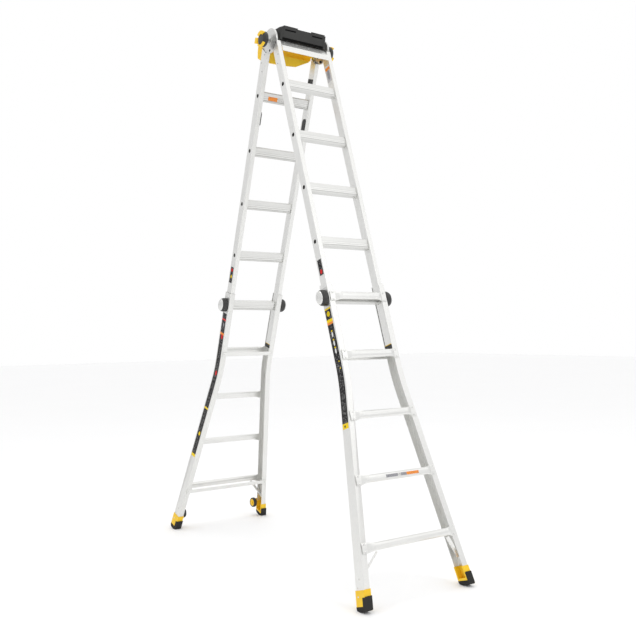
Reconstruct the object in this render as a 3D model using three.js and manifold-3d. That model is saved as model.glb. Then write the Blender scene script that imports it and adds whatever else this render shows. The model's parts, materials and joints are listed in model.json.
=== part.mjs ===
// Multi position ladder: two telescoping sections joined by a locking hinge at the top.
// Each section is a straight inner frame that slides in a flared outer frame.
// Units are millimetres, +Z is up, the floor is z = 0 and the hinge axis lies over the origin.
// The front section stands on the -Y side, the rear section on the +Y side.
import * as THREE from 'three';
import { mergeVertices } from 'three/addons/utils/BufferGeometryUtils.js';
import Module from 'manifold-3d';

const wasm = await Module();
wasm.setup();

// ---- Driving dimensions -------------------------------------------------------------------
const halfAngle = THREE.MathUtils.degToRad(18.09); // each section leans this far from upright
const rungPitch = 304.8;
const firstRung = 296; // hinge axis to the first rung, measured down the rail
const rungsPerFrame = 5;
const railOffset = 40; // a section's centre line lies this far outward of the hinge axis
const gap = 0.3; // clearance between pieces that touch

const innerRail = { face: 179.5, width: 26.5, depth: 50, wall: 2, top: 39, topCut: 25, bottom: 1768 };
const innerRung = { height: 56, depth: 32, wall: 1.5, groove: 1.2, grooveHeight: 4 };
const lockHole = { radius: 11 };

const outerRail = { face: 185, web: 2.6, flange: 34, flangeWall: 2.4, halfDepth: 30.7, overTop: 75 };
const flare = { start: 1936, blend: 80, slope: 0.143 };
const outerRung = { height: 37, depth: 26, wall: 1.6, centre: 43, tabHeight: 50, tabDepth: 5 };
const rungTab = { inset: 6, length: 30, taper: 34 };

const sole = { end: 3000, thickness: 22, round: 20, toeCut: 5, padTop: 2940, padProud: 4.6 };
const soleSkin = { thickness: 1.6, wrap: 22 }; // side skin wrapped round from the toe's pad
const boot = { top: 2908, side: 3, liner: 2.5, floor: 12, halfDepth: 33.4, rise: 24 };
const wheel = { radius: 31.5, width: 24, centreX: 264, bore: 5.4, height: 90 };

const bar = { height: 25, thickness: 5, endInset: 6 };
const knee = { width: 18, thickness: 5, top: 221, bottomLevel: 128, topDepth: 43 };

const plate = { radius: 65, thickness: 5, leg: 190, legHalf: 22, legThickness: 4, bore: 6.3 };
const hingeKnob = { radius: 41, start: 208, end: 236, shaft: 6 };
const lockKnob = { halfHeight: 42, halfDepth: 33, start: 187, end: 227, pin: 8, pinTip: 181.3 };

// Bent cross plate: outward distance and height of its top edge, its bend and its bottom edge.
const crossbar = { thickness: 3, top: [45, -20], bend: [68, -67.6], bottom: [68, -99.6] };

// Levels of the tray and the bucket are heights relative to the hinge axis.
const tray = {
  half: 151, // half length at the back
  frontHalf: 136, // half length at the front, where the corners are cut off
  cornerStart: -27,
  wall: 3.5,
  bottom: -3,
  floor: 30,
  top: 62,
  frontFoot: -61, // the front leans forward from here
  frontLip: -80, // to here
  backFoot: 24,
  backLip: 38,
};
const trayLip = { inner: 45, drop: 10, rise: 5, thickness: 6.5, proud: 0.5 };
const traySkirt = { drop: 33, front: -30, back: 12 };
const bucket = {
  half: 155,
  wall: 3,
  front: 75,
  back: 160,
  rim: 12,
  lip: -56,
  taper: 0.0012, // share of the depth lost at the back for each millimetre below the rim
  lowerEdge: [
    [155, -54], [146, -56], [146, -61], [60, -102],
    [0, -107], [-120, -108], [-152, -94], [-155, -60],
  ],
};
const bucketEar = { reach: 25, height: 31 };
const bucketHook = { x0: 152.5, x1: 164.5, thickness: 3, drop: 11, root: 78 };

// ---- Derived levels -----------------------------------------------------------------------
const rungLevel = (k) => firstRung + (k - 1) * rungPitch; // k counts from the hinge down
const lockLevel = rungLevel(rungsPerFrame);
const innerBottomOfSole = railOffset - boot.halfDepth;
const floorTrim = 1.5; // depth that the standing flat takes off the sole's rounded heel
const hingeHeight = (sole.end - sole.round) * Math.cos(halfAngle)
  - (innerBottomOfSole + sole.round) * Math.sin(halfAngle) + sole.round - floorTrim;

const frontDisc = innerRail.face - innerRail.wall - gap - plate.thickness; // disc's inner face
const rearDisc = frontDisc - gap - plate.thickness;

// A rear wheel reaches as far back as a front sole's toe reaches forward.
const toe = railOffset + boot.halfDepth + sole.padProud;
const toeReach = toe * Math.cos(halfAngle) + (sole.end - sole.toeCut) * Math.sin(halfAngle);
const wheelY = toeReach - wheel.radius;

/** Sideways shift of an outer rail at distance s below the hinge: straight, a bend, a flare. */
function flareAt(s) {
  const past = s - flare.start;
  if (past <= -flare.blend) return 0;
  if (past >= flare.blend) return flare.slope * past;
  return flare.slope * (past + flare.blend) ** 2 / (4 * flare.blend);
}

// ---- Materials ----------------------------------------------------------------------------
function material(color, roughness, metalness) {
  return new THREE.MeshStandardMaterial({ color, roughness, metalness });
}

const finish = {
  aluminium: material(0xdcdcd8, 0.38, 0.9),
  steel: material(0xb9b9b4, 0.35, 1.0),
  yellow: material(0xf2bb1d, 0.5, 0.0),
  black: material(0x2b2b2a, 0.6, 0.0),
  rubber: material(0x232322, 0.85, 0.0),
};

// ---- Solid helpers ------------------------------------------------------------------------
/** Turns a closed three.js geometry into a manifold solid. */
function solid(geometry) {
  const bare = geometry.index ? geometry.toNonIndexed() : geometry.clone();
  bare.deleteAttribute('normal');
  bare.deleteAttribute('uv');
  const merged = mergeVertices(bare, 1e-4);
  return new wasm.Manifold(new wasm.Mesh({
    numProp: 3,
    vertProperties: new Float32Array(merged.attributes.position.array),
    triVerts: new Uint32Array(merged.index.array),
  }));
}

/** Turns a manifold solid back into a three.js geometry. */
function geometryOf(body) {
  const mesh = body.getMesh();
  const geometry = new THREE.BufferGeometry();
  geometry.setAttribute('position', new THREE.BufferAttribute(mesh.vertProperties, 3));
  geometry.setIndex(new THREE.BufferAttribute(mesh.triVerts, 1));
  geometry.computeVertexNormals();
  return geometry;
}

const shapeOf = (points) => new THREE.Shape(points.map(([a, b]) => new THREE.Vector2(a, b)));
const pathOf = (points) => new THREE.Path(points.map(([a, b]) => new THREE.Vector2(a, b)));

/** A flat outline in the Y-Z plane, extruded along X from x0 to x1. */
function prismX(outline, x0, x1, holes = []) {
  const shape = outline instanceof THREE.Shape ? outline : shapeOf(outline);
  shape.holes.push(...holes.map(pathOf));
  const geometry = new THREE.ExtrudeGeometry(shape, { depth: x1 - x0, bevelEnabled: false });
  const turn = new THREE.Matrix4().makeBasis(
    new THREE.Vector3(0, 1, 0), new THREE.Vector3(0, 0, 1), new THREE.Vector3(1, 0, 0));
  geometry.applyMatrix4(turn);
  geometry.translate(x0, 0, 0);
  return geometry;
}

/** An outline in the X-Y plane, extruded down the rail through the stations, with the flare. */
function prismDown(outline, stations, bend = flareAt, holes = []) {
  const shape = shapeOf(outline);
  shape.holes.push(...holes.map(pathOf));
  const steps = stations.length - 1;
  const geometry = new THREE.ExtrudeGeometry(shape, { depth: steps, steps, bevelEnabled: false });
  const position = geometry.attributes.position;
  for (let i = 0; i < position.count; i += 1) {
    const s = stations[steps - Math.round(position.getZ(i))];
    position.setXYZ(i, position.getX(i) + bend(s), position.getY(i), -s);
  }
  return geometry;
}

const straight = () => 0;

/** An axis-aligned box between two corners. */
function box(low, high) {
  const size = high.map((value, i) => value - low[i]);
  const geometry = new THREE.BoxGeometry(...size);
  geometry.translate(...low.map((value, i) => value + size[i] / 2));
  return geometry;
}

/** A round bar along X. */
function barX(radius, x0, x1, y, z, sides = 24) {
  const geometry = new THREE.CylinderGeometry(radius, radius, x1 - x0, sides);
  geometry.rotateZ(-Math.PI / 2);
  geometry.translate((x0 + x1) / 2, y, z);
  return geometry;
}

/** A turned piece about X: profile points are [radius, x], starting and ending on the axis. */
function turnedX(profile, sides = 32) {
  const points = profile.map(([radius, x]) => new THREE.Vector2(radius, x));
  const geometry = new THREE.LatheGeometry(points, sides);
  geometry.rotateZ(-Math.PI / 2);
  return geometry;
}

/** A rectangle outline with cut corners, as points. */
function rectangle(x0, x1, y0, y1, cut = 0) {
  if (cut === 0) return [[x0, y0], [x1, y0], [x1, y1], [x0, y1]];
  return [
    [x0 + cut, y0], [x1 - cut, y0], [x1, y0 + cut], [x1, y1 - cut],
    [x1 - cut, y1], [x0 + cut, y1], [x0, y1 - cut], [x0, y0 + cut],
  ];
}

/** Mirrors a geometry in the plane x = 0 and turns its faces the right way out. */
function mirrored(geometry) {
  const flipped = geometry.index ? geometry.toNonIndexed() : geometry.clone();
  flipped.scale(-1, 1, 1);
  const position = flipped.attributes.position.array;
  for (let i = 0; i < position.length; i += 9) {
    for (let axis = 0; axis < 3; axis += 1) {
      [position[i + 3 + axis], position[i + 6 + axis]] = [position[i + 6 + axis], position[i + 3 + axis]];
    }
  }
  flipped.computeVertexNormals();
  return flipped;
}

// ---- Scene graph --------------------------------------------------------------------------
const ladder = new THREE.Group();
const hingeLine = new THREE.Group();
hingeLine.position.z = hingeHeight;
ladder.add(hingeLine);

/** A section's group: local -Z runs down the rail, local Y times `out` points outward. */
function sectionGroup(out) {
  const group = new THREE.Group();
  group.rotation.x = out * halfAngle;
  hingeLine.add(group);
  return group;
}

const sections = [
  { name: 'front', out: -1, group: sectionGroup(-1) },
  { name: 'rear', out: 1, group: sectionGroup(1) },
];

function place(group, name, geometry, surface) {
  const mesh = new THREE.Mesh(geometry, surface);
  mesh.name = name;
  group.add(mesh);
}

/** Places a right-hand piece and its mirror image, named by side. */
function placePair(section, name, geometry, surface) {
  place(section.group, `${section.name}_right_${name}`, geometry, surface);
  place(section.group, `${section.name}_left_${name}`, mirrored(geometry), surface);
}

// ---- Inner frame --------------------------------------------------------------------------
/** Hollow box rail, cut slantwise at the hinge, with a round lock hole in its web at every rung. */
function makeInnerRail(out) {
  const { face, width, depth, wall, top, topCut, bottom } = innerRail;
  const y = out * railOffset;
  const outline = rectangle(face - width, face, y - depth / 2, y + depth / 2, 1.5);
  const bore = rectangle(face - width + wall, face - wall, y - depth / 2 + wall, y + depth / 2 - wall);
  let rail = solid(prismDown(outline, [top, bottom], straight, [bore]));
  for (let k = 1; k <= rungsPerFrame; k += 1) {
    rail = rail.subtract(solid(barX(lockHole.radius, face - wall - 1, face + 1, y, -rungLevel(k), 16)));
  }
  const high = out * (railOffset + depth / 2);
  const low = out * (railOffset - depth / 2);
  const slantFoot = -top - topCut;
  const slant = [[high, -top], [high, 0], [low - out, 0], [low - out, slantFoot], [low, slantFoot]];
  rail = rail.subtract(solid(prismX(out > 0 ? slant : slant.reverse(), face - width - 1, face + 1)));
  return geometryOf(rail);
}

/** Hollow rung with two traction grooves on each broad face. */
function makeInnerRung(out, level) {
  const { height, depth, wall, groove, grooveHeight } = innerRung;
  const y = out * railOffset;
  const half = depth / 2;
  const grooves = [-height * 0.12, -height * 0.32];
  const faceDown = (side) => grooves.flatMap((z) => [
    [side * half, z + grooveHeight / 2], [side * (half - groove), z + grooveHeight / 2 - groove],
    [side * (half - groove), z - grooveHeight / 2 + groove], [side * half, z - grooveHeight / 2],
  ]);
  const corner = 5;
  const sideDown = (side) => [
    [side * half, height / 2 - corner], ...faceDown(side), [side * half, -height / 2 + corner],
  ];
  const rightSide = sideDown(1);
  const leftSide = sideDown(-1).reverse();
  const outline = [
    [half - corner, height / 2], ...rightSide, [half - corner, -height / 2],
    [-half + corner, -height / 2], ...leftSide, [-half + corner, height / 2],
  ].map(([a, b]) => [a + y, b - level]).reverse();
  const hollow = rectangle(y - half + wall + groove, y + half - wall - groove,
    -level - height / 2 + wall, -level + height / 2 - wall, 3);
  const reach = innerRail.face - innerRail.width - gap;
  return prismX(outline, -reach, reach, [hollow]);
}

// ---- Outer frame --------------------------------------------------------------------------
const outerTop = lockLevel - outerRail.overTop;
const outerBottom = sole.end - sole.thickness - 8;
const bendStations = [-1, -0.5, 0, 0.5, 1].map((t) => flare.start + t * flare.blend);

/** Outline of the outer rail's channel, open toward the middle of the ladder. */
function channelOutline(out, grow = 0) {
  const { face, web, flange, flangeWall, halfDepth } = outerRail;
  const y = out * railOffset;
  const edge = face - flange;
  return [
    [edge - grow, -halfDepth - grow], [face + grow, -halfDepth - grow],
    [face + grow, halfDepth + grow], [edge - grow, halfDepth + grow],
    [edge - grow, halfDepth - flangeWall - grow], [face - web - grow, halfDepth - flangeWall - grow],
    [face - web - grow, -halfDepth + flangeWall + grow], [edge - grow, -halfDepth + flangeWall + grow],
  ].map(([a, b]) => [a, b + y]);
}

/** Channel rail that runs straight past the lock and then flares to the foot. */
function makeOuterRail(out) {
  const channel = solid(prismDown(channelOutline(out), [outerTop, ...bendStations, outerBottom]));
  const [x0, x1] = [outerRail.face - 10, outerRail.face + 10];
  const pinHole = barX(lockKnob.pin + 1, x0, x1, out * railOffset, -lockLevel, 16);
  return geometryOf(channel.subtract(solid(pinHole)));
}

/** Half width of an outer rung, out to the middle of the rail's flange. */
const rungReach = (level) => outerRail.face - rungTab.inset + flareAt(level);

/** Factor that moves a point of the unit circle out to a rounded square. */
function squareness(a, b) {
  if (a === 0 && b === 0) return 0;
  return Math.hypot(a, b) / (Math.abs(a) ** 3 + Math.abs(b) ** 3) ** (1 / 3);
}

/** One skin of an outer rung: an oval tube whose ends are pressed flat against the flanges. */
function rungSkin(out, level, inset, sides) {
  const reach = rungReach(level);
  const squeeze = reach - rungTab.length;
  const full = squeeze - rungTab.taper;
  const over = inset > 0 ? 1 : 0;
  const halfway = (squeeze + full) / 2;
  const stations = [-reach - over, -squeeze, -halfway, -full, full, halfway, squeeze, reach + over];
  const flatness = [1, 1, 0.4, 0, 0, 0.4, 1, 1];
  const steps = stations.length - 1;
  const geometry = new THREE.CylinderGeometry(1, 1, steps, sides, steps);
  const position = geometry.attributes.position;
  const tabCentre = outerRail.halfDepth + gap + outerRung.tabDepth / 2;
  for (let i = 0; i < position.count; i += 1) {
    const ring = Math.round(position.getY(i) + steps / 2);
    const flat = flatness[ring];
    const mix = (round, pressed) => round + (pressed - round) * flat;
    const halfDepth = mix(outerRung.depth / 2, outerRung.tabDepth / 2) - inset;
    const halfHeight = mix(outerRung.height / 2, outerRung.tabHeight / 2) - inset;
    const centre = mix(outerRung.centre, tabCentre);
    const a = position.getX(i);
    const b = position.getZ(i);
    const depthAt = a * squareness(a, b) * halfDepth;
    const heightAt = b * squareness(a, b) * halfHeight;
    position.setXYZ(i, -stations[ring], out * (railOffset + centre) + depthAt, heightAt - level);
  }
  return geometry;
}

function makeOuterRung(out, level) {
  const outside = solid(mirrored(rungSkin(out, level, 0, 14)));
  const inside = solid(mirrored(rungSkin(out, level, outerRung.wall, 10)));
  return geometryOf(outside.subtract(inside));
}

/** Flat tie bar across the inner-side flanges of an outer frame. */
function makeBar(out, level) {
  const reach = outerRail.face - bar.endInset + flareAt(level);
  const near = out * (railOffset - outerRail.halfDepth - gap);
  const far = out * (railOffset - outerRail.halfDepth - gap - bar.thickness);
  const [y0, y1] = near < far ? [near, far] : [far, near];
  return prismX(rectangle(y0, y1, -level - bar.height / 2, -level + bar.height / 2, 2), -reach, reach);
}

/** Flat knee strap from under the lowest rung out and down into the channel's web. */
function makeKnee(out) {
  const level = rungLevel(9);
  const startLevel = level + outerRung.height / 2 + knee.thickness;
  const start = new THREE.Vector3(knee.top, out * (railOffset + knee.topDepth), -startLevel);
  const endLevel = level + knee.bottomLevel;
  const webInside = outerRail.face - outerRail.web + flareAt(endLevel) - 2 * knee.thickness;
  const end = new THREE.Vector3(webInside, out * railOffset, -endLevel);
  const along = end.clone().sub(start);
  const strap = new THREE.BoxGeometry(knee.thickness, knee.width, along.length());
  const upright = new THREE.Vector3(0, 0, 1);
  strap.applyQuaternion(new THREE.Quaternion().setFromUnitVectors(upright, along.clone().normalize()));
  const middle = start.clone().add(end).multiplyScalar(0.5);
  strap.translate(middle.x, middle.y, middle.z);
  return strap;
}

// ---- Feet ---------------------------------------------------------------------------------
/** Outline, in the X-Y plane, of the block that a foot fills around its rail. */
function footOutline(out, side, depth) {
  const y = out * railOffset;
  const edge = outerRail.face - outerRail.flange - side;
  return rectangle(edge, outerRail.face + side, y - depth, y + depth, 1.5);
}

/** Moulded boot around and inside the rail's end, open toward the middle of the ladder. */
function makeBoot(out, withWheel) {
  const end = sole.end - sole.thickness - gap;
  const y = out * railOffset;
  let body = solid(prismDown(footOutline(out, boot.side, boot.halfDepth), [boot.top, end]));
  const slot = prismDown(channelOutline(out, gap), [boot.top - 400, outerBottom + gap]);
  const linerFace = outerRail.face - outerRail.web - gap - boot.liner;
  const linerHalf = outerRail.halfDepth - outerRail.flangeWall - gap - boot.liner;
  const recess = rectangle(0, linerFace, y - linerHalf, y + linerHalf);
  body = body.subtract(solid(prismDown(recess, [boot.top - 400, end - boot.floor])));
  if (withWheel) {
    const back = rectangle(linerFace, linerFace + boot.liner, y - linerHalf, y + linerHalf);
    body = body.add(solid(prismDown(back, [boot.top - boot.rise, boot.top + 10])));
  }
  body = body.subtract(solid(slot));
  body = body.subtract(solid(makeSoleSkin(out, soleSkin.thickness + gap, gap, end + 5)));
  return withWheel ? geometryOf(addAxle(body, out)) : geometryOf(body);
}

/** Y of a point of a foot, given by its n on the front section: every toe points to -Y. */
const footY = (out, n) => out * railOffset - (n - railOffset);

/** Side skin of the sole: a thin plate on the web side, wrapped round from the toe's pad. */
function makeSoleSkin(out, thickness, grow, end) {
  const high = railOffset + boot.halfDepth + 2 * gap;
  const low = railOffset + boot.halfDepth + sole.padProud - soleSkin.wrap - grow;
  const face = outerRail.face + boot.side;
  const outline = rectangle(face - thickness, face + grow, low, high);
  const turned = outline.map(([x, n]) => [x, footY(out, n)]);
  return prismDown(turned, [sole.padTop - grow, end]);
}

/** Place of the wheel's axle in its section: distance down the rail and outward. */
const drop = hingeHeight - wheel.height;
const axleLevel = wheelY * Math.sin(halfAngle) + drop * Math.cos(halfAngle);
const axleOut = wheelY * Math.cos(halfAngle) - drop * Math.sin(halfAngle);

/** Adds the ear, the axle and its head that carry a transport wheel to a rear boot. */
function addAxle(body, out) {
  const outerSide = wheel.centreX + wheel.width / 2;
  const innerSide = wheel.centreX - wheel.width / 2;
  const earHalf = 13;
  const earInner = Math.min(railOffset + outerRail.halfDepth + gap, axleOut + 1);
  const earTip = axleOut + earHalf;
  const ear = [
    [earInner, -axleLevel - earHalf], [earTip - 4, -axleLevel - earHalf], [earTip, -axleLevel],
    [earTip - 4, -axleLevel + earHalf], [earInner, -axleLevel + earHalf + 16],
  ].map(([a, b]) => [out * a, b]);
  const earFace = outerRail.face - 8 + flareAt(axleLevel);
  const rear = prismX(out > 0 ? ear : ear.reverse(), outerSide + 1, earFace);
  const shaft = barX(wheel.bore - 0.4, innerSide - 2, outerSide + 4, out * axleOut, -axleLevel, 20);
  const head = barX(9, innerSide - 4, innerSide - 0.6, out * axleOut, -axleLevel, 20);
  return body.add(solid(rear)).add(solid(shaft)).add(solid(head));
}

/** Rubber sole: a block with a rounded heel under the boot and a pad up its toe side. */
function makeSole(out) {
  const top = sole.end - sole.thickness;
  const heel = railOffset - boot.halfDepth;
  const padInner = railOffset + boot.halfDepth + gap;
  const profile = new THREE.Shape();
  profile.moveTo(padInner, -sole.padTop);
  profile.lineTo(padInner, -top);
  profile.lineTo(heel, -top);
  profile.lineTo(heel, -sole.end + sole.round);
  profile.absarc(heel + sole.round, -sole.end + sole.round, sole.round, Math.PI, 1.5 * Math.PI, false);
  profile.lineTo(toe - sole.toeCut, -sole.end);
  profile.lineTo(toe, -sole.end + sole.toeCut);
  profile.lineTo(toe, -sole.padTop + 3);
  profile.lineTo(toe - 3, -sole.padTop);
  const x0 = outerRail.face - outerRail.flange - boot.side;
  const x1 = outerRail.face + boot.side;
  const carried = { depth: x1 - x0, bevelEnabled: false, curveSegments: 6 };
  const geometry = new THREE.ExtrudeGeometry(profile, carried);
  const position = geometry.attributes.position;
  for (let i = 0; i < position.count; i += 1) {
    const [a, s, along] = [position.getX(i), -position.getY(i), position.getZ(i)];
    position.setXYZ(i, x0 + along + flareAt(s), footY(out, a), -s);
  }
  const skin = makeSoleSkin(out, soleSkin.thickness, 0, top + 4);
  const block = solid(unflip(geometry)).add(solid(skin));
  const floor = box([-1000, -3000, -500], [1000, 3000, 0]);
  floor.translate(0, 0, -hingeHeight);
  floor.rotateX(-out * halfAngle);
  return geometryOf(block.subtract(solid(floor)));
}

/** Turns the faces of a geometry that was mirrored by its coordinates the right way out. */
function unflip(geometry) {
  const mirroredTwice = mirrored(geometry);
  mirroredTwice.scale(-1, 1, 1);
  return mirroredTwice;
}

/** Transport wheel with a rounded tyre and a dished hub, bored for its axle. */
function makeWheel(out) {
  const { radius, width, bore, centreX } = wheel;
  const half = width / 2;
  const profile = [
    [bore, -half + 2], [radius * 0.35, -half + 1], [radius * 0.62, -half + 4], [radius * 0.78, -half + 1],
    [radius - 4, -half], [radius, -half + 5], [radius, half - 5], [radius - 4, half],
    [radius * 0.78, half - 1], [radius * 0.62, half - 4], [radius * 0.35, half - 1], [bore, half - 2],
    [bore, -half + 2],
  ];
  const geometry = turnedX(profile, 32);
  geometry.translate(centreX, out * axleOut, -axleLevel);
  return geometry;
}

// ---- Locks --------------------------------------------------------------------------------
/** Rounded side-lock knob with the plunger pin that passes through the outer rail's web. */
function makeLockKnob(out) {
  const { halfHeight, halfDepth, start, end, pin, pinTip } = lockKnob;
  const profile = [[0, 0], [0.9, 0], [1, 0.12], [0.97, 0.62], [0.86, 0.85], [0.6, 0.97], [0, 1]];
  const grip = turnedX(profile.map(([radius, x]) => [radius, start + x * (end - start)]), 24);
  grip.scale(1, halfDepth, halfHeight);
  grip.translate(0, out * railOffset, -lockLevel);
  const plunger = barX(pin, pinTip, start + 6, out * railOffset, -lockLevel, 16);
  return geometryOf(solid(grip).add(solid(plunger)));
}

// ---- Hinge --------------------------------------------------------------------------------
/** Hinge plate: a bored disc on the hinge axis and a leg that sits inside the inner rail. */
function makeHingePlate(out, discStart) {
  const y = out * railOffset;
  const leg = rectangle(y - plate.legHalf, y + plate.legHalf, -plate.leg, -6);
  const disc = barX(plate.radius, discStart, discStart + plate.thickness, 0, 0, 48);
  const bore = barX(plate.bore, discStart - 5, discStart + 20, 0, 0, 24);
  const strap = prismX(leg, discStart, discStart + plate.legThickness);
  return geometryOf(solid(disc).add(solid(strap)).subtract(solid(bore)));
}

/** Domed hinge knob on the shaft that is the hinge's pivot pin. */
function makeHingeKnob() {
  const { radius, start, end, shaft } = hingeKnob;
  const pinEnd = rearDisc - 1;
  const dome = end - start;
  return turnedX([
    [0, pinEnd], [shaft, pinEnd], [shaft, start], [radius - 3, start], [radius, start + 3],
    [radius - 1, start + dome * 0.55], [radius - 6, start + dome * 0.8], [radius - 16, end - 1], [0, end],
  ], 40);
}

// ---- Top fittings -------------------------------------------------------------------------
/** Bent cross plate between the front rails that carries the tray. */
function makeTopCrossbar(out) {
  const { thickness, top, bend, bottom } = crossbar;
  const back = [bottom, [bend[0], bend[1] - 0.7], [top[0], top[1] - 1.4]];
  const outline = [top, bend, bottom, ...back.map(([a, b]) => [a - thickness, b])];
  const reach = innerRail.face - innerRail.width - gap;
  const points = outline.map(([a, b]) => [out * a, b]);
  return prismX(out > 0 ? points.reverse() : points, -reach, reach);
}

/** Y of the tray's leaning front face and back face at height z. */
function trayFaces(z) {
  const up = (z - tray.bottom) / (tray.top - tray.bottom);
  return [
    tray.frontFoot + (tray.frontLip - tray.frontFoot) * up,
    tray.backFoot + (tray.backLip - tray.backFoot) * up,
  ];
}

/** Cross-section of the tray between two heights, drawn in by a wall thickness. */
function traySection(low, high, wall) {
  const [frontLow, backLow] = trayFaces(low);
  const [frontHigh, backHigh] = trayFaces(high);
  return [
    [frontLow + wall, low], [backLow - wall, low], [backHigh - wall, high], [frontHigh + wall, high],
  ];
}

/** Moulded work tray: front leaning forward, recess on top, hollow underside, two raised lips. */
function makeTray() {
  const { half, frontHalf, cornerStart, wall, bottom, floor, top } = tray;
  let body = solid(prismX(traySection(bottom, top, 0), -half, half));
  const [lipLow, lipHigh] = [top - trayLip.drop, top + trayLip.rise];
  const lipFoot = trayFaces(lipLow)[0] - trayLip.proud;
  const lipHead = trayFaces(lipHigh)[0] - trayLip.proud;
  const lip = [
    [lipFoot, lipLow], [lipFoot + trayLip.thickness, lipLow],
    [lipHead + trayLip.thickness, lipHigh], [lipHead, lipHigh],
  ];
  body = body.add(solid(prismX(lip, -frontHalf, -trayLip.inner)));
  body = body.add(solid(prismX(lip, trayLip.inner, frontHalf)));
  const recess = traySection(floor, top + 30, wall);
  body = body.subtract(solid(prismX(recess, -frontHalf + wall, frontHalf - wall)));
  const underside = traySection(bottom - 5, floor - wall, wall);
  body = body.subtract(solid(prismX(underside, -half + wall, half - wall)));
  for (const side of [-1, 1]) {
    const past = side * (half + 10);
    const corner = shapeOf([[side * frontHalf, -100], [past, -100], [past, cornerStart]]);
    const cut = new THREE.ExtrudeGeometry(corner, { depth: 200, bevelEnabled: false });
    cut.translate(0, 0, -100);
    body = body.subtract(solid(cut)).add(solid(makeTraySkirt(side)));
  }
  return geometryOf(body);
}

/** End plate of the tray that hangs down over the hinge discs. */
function makeTraySkirt(side) {
  const { drop, front, back } = traySkirt;
  const foot = tray.bottom - drop;
  const root = tray.bottom + 5;
  const outline = [[front, foot], [back, foot], [back + 6, root], [front - 8, root]];
  const ends = [side * tray.half, side * (tray.half - tray.wall)];
  return prismX(outline, Math.min(...ends), Math.max(...ends));
}

/** An outline seen from behind, in X and Z, extruded from y0 to y1. */
function prismY(outline, y0, y1) {
  const shape = shapeOf([...outline].reverse());
  const geometry = new THREE.ExtrudeGeometry(shape, { depth: y1 - y0, bevelEnabled: false });
  geometry.rotateX(Math.PI / 2);
  geometry.translate(0, y1, 0);
  return geometry;
}

/** Draws a bucket solid in toward its front with depth below the rim, so that its back leans. */
function tapered(body) {
  const { front, rim, taper } = bucket;
  const geometry = geometryOf(body);
  const position = geometry.attributes.position;
  for (let i = 0; i < position.count; i += 1) {
    const share = 1 - taper * Math.max(0, rim - position.getZ(i));
    position.setY(i, front + (position.getY(i) - front) * share);
  }
  return solid(geometry);
}

/** Open bucket behind the rear rails: high leaning back and sides, low front, sloping ends. */
function makeBucket() {
  const { half, wall, front, back, rim, lip, lowerEdge } = bucket;
  const face = [[-half, rim], [half, rim], ...lowerEdge];
  const shrink = ([x, z]) => [x * (half - wall) / half, z === rim ? rim + 5 : z + wall];
  let body = solid(prismY(face, front, back));
  body = body.subtract(solid(prismY(face.map(shrink), front + wall, back - wall)));
  const opening = box([-half + wall, front - 1, lip], [half - wall, front + wall + 1, rim + 1]);
  body = tapered(body.subtract(solid(opening)));
  for (const side of [-1, 1]) {
    const ends = [side * (half - 1), side * (half + bucketEar.reach)];
    const ear = box(
      [Math.min(...ends), back - 25, rim - bucketEar.height],
      [Math.max(...ends), back, rim]);
    body = body.add(solid(ear)).add(solid(makeHook(side)));
  }
  return geometryOf(body);
}

/** Hook on a side wall of the bucket that rests on a rear rail's end and reaches down inside it. */
function makeHook(side) {
  const { x0, x1, thickness, drop, root } = bucketHook;
  const inside = railOffset + innerRail.depth / 2 - innerRail.wall - gap;
  const seat = -innerRail.top + gap;
  const clear = root - 11; // outward face of the rail, cleared by the hook's web
  const outline = [
    [root, seat + 20.7], [root - 12, seat + 20.7], [inside - thickness, seat + 12.7],
    [inside - thickness, seat - drop], [inside, seat - drop], [inside, seat],
    [clear, seat], [clear + thickness, seat + 2.7], [root, seat + 4.7],
  ];
  const railWallFace = innerRail.face - innerRail.width + innerRail.wall + gap;
  const railWall = box([x0 - 3, railOffset, seat - drop - 4], [railWallFace, root, seat]);
  const hook = geometryOf(solid(prismX(outline, x0, x1)).subtract(solid(railWall)));
  return side < 0 ? mirrored(hook) : hook;
}

// ---- Assembly -----------------------------------------------------------------------------
for (const section of sections) {
  const { out, name, group } = section;
  placePair(section, 'inner_rail', makeInnerRail(out), finish.aluminium);
  placePair(section, 'outer_rail', makeOuterRail(out), finish.aluminium);
  for (let k = 1; k <= rungsPerFrame; k += 1) {
    place(group, `${name}_inner_rung_${k}`, makeInnerRung(out, rungLevel(k)), finish.aluminium);
    const lower = k + rungsPerFrame - 1;
    place(group, `${name}_outer_rung_${lower}`, makeOuterRung(out, rungLevel(lower)), finish.aluminium);
  }
  place(group, `${name}_upper_tie_bar`, makeBar(out, rungLevel(6)), finish.aluminium);
  place(group, `${name}_lower_tie_bar`, makeBar(out, rungLevel(9)), finish.aluminium);
  placePair(section, 'knee_brace', makeKnee(out), finish.aluminium);
  placePair(section, 'foot_boot', makeBoot(out, name === 'rear'), finish.yellow);
  placePair(section, 'foot_sole', makeSole(out), finish.rubber);
  placePair(section, 'lock_knob', makeLockKnob(out), finish.black);
}

const [front, rear] = sections;
placePair(front, 'hinge_plate', makeHingePlate(front.out, frontDisc), finish.steel);
placePair(rear, 'hinge_plate', makeHingePlate(rear.out, rearDisc), finish.steel);
placePair(rear, 'transport_wheel', makeWheel(rear.out), finish.black);
place(hingeLine, 'right_hinge_knob', makeHingeKnob(), finish.black);
place(hingeLine, 'left_hinge_knob', mirrored(makeHingeKnob()), finish.black);
place(front.group, 'top_crossbar', makeTopCrossbar(front.out), finish.aluminium);
place(hingeLine, 'work_tray', makeTray(), finish.black);
place(rear.group, 'tool_bucket', makeBucket(), finish.yellow);

export default ladder;
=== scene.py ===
"""Looks for the multi position ladder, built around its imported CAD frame. Units are metres."""
import bpy
import bmesh
import json
import math
from mathutils import Matrix, Vector


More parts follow.
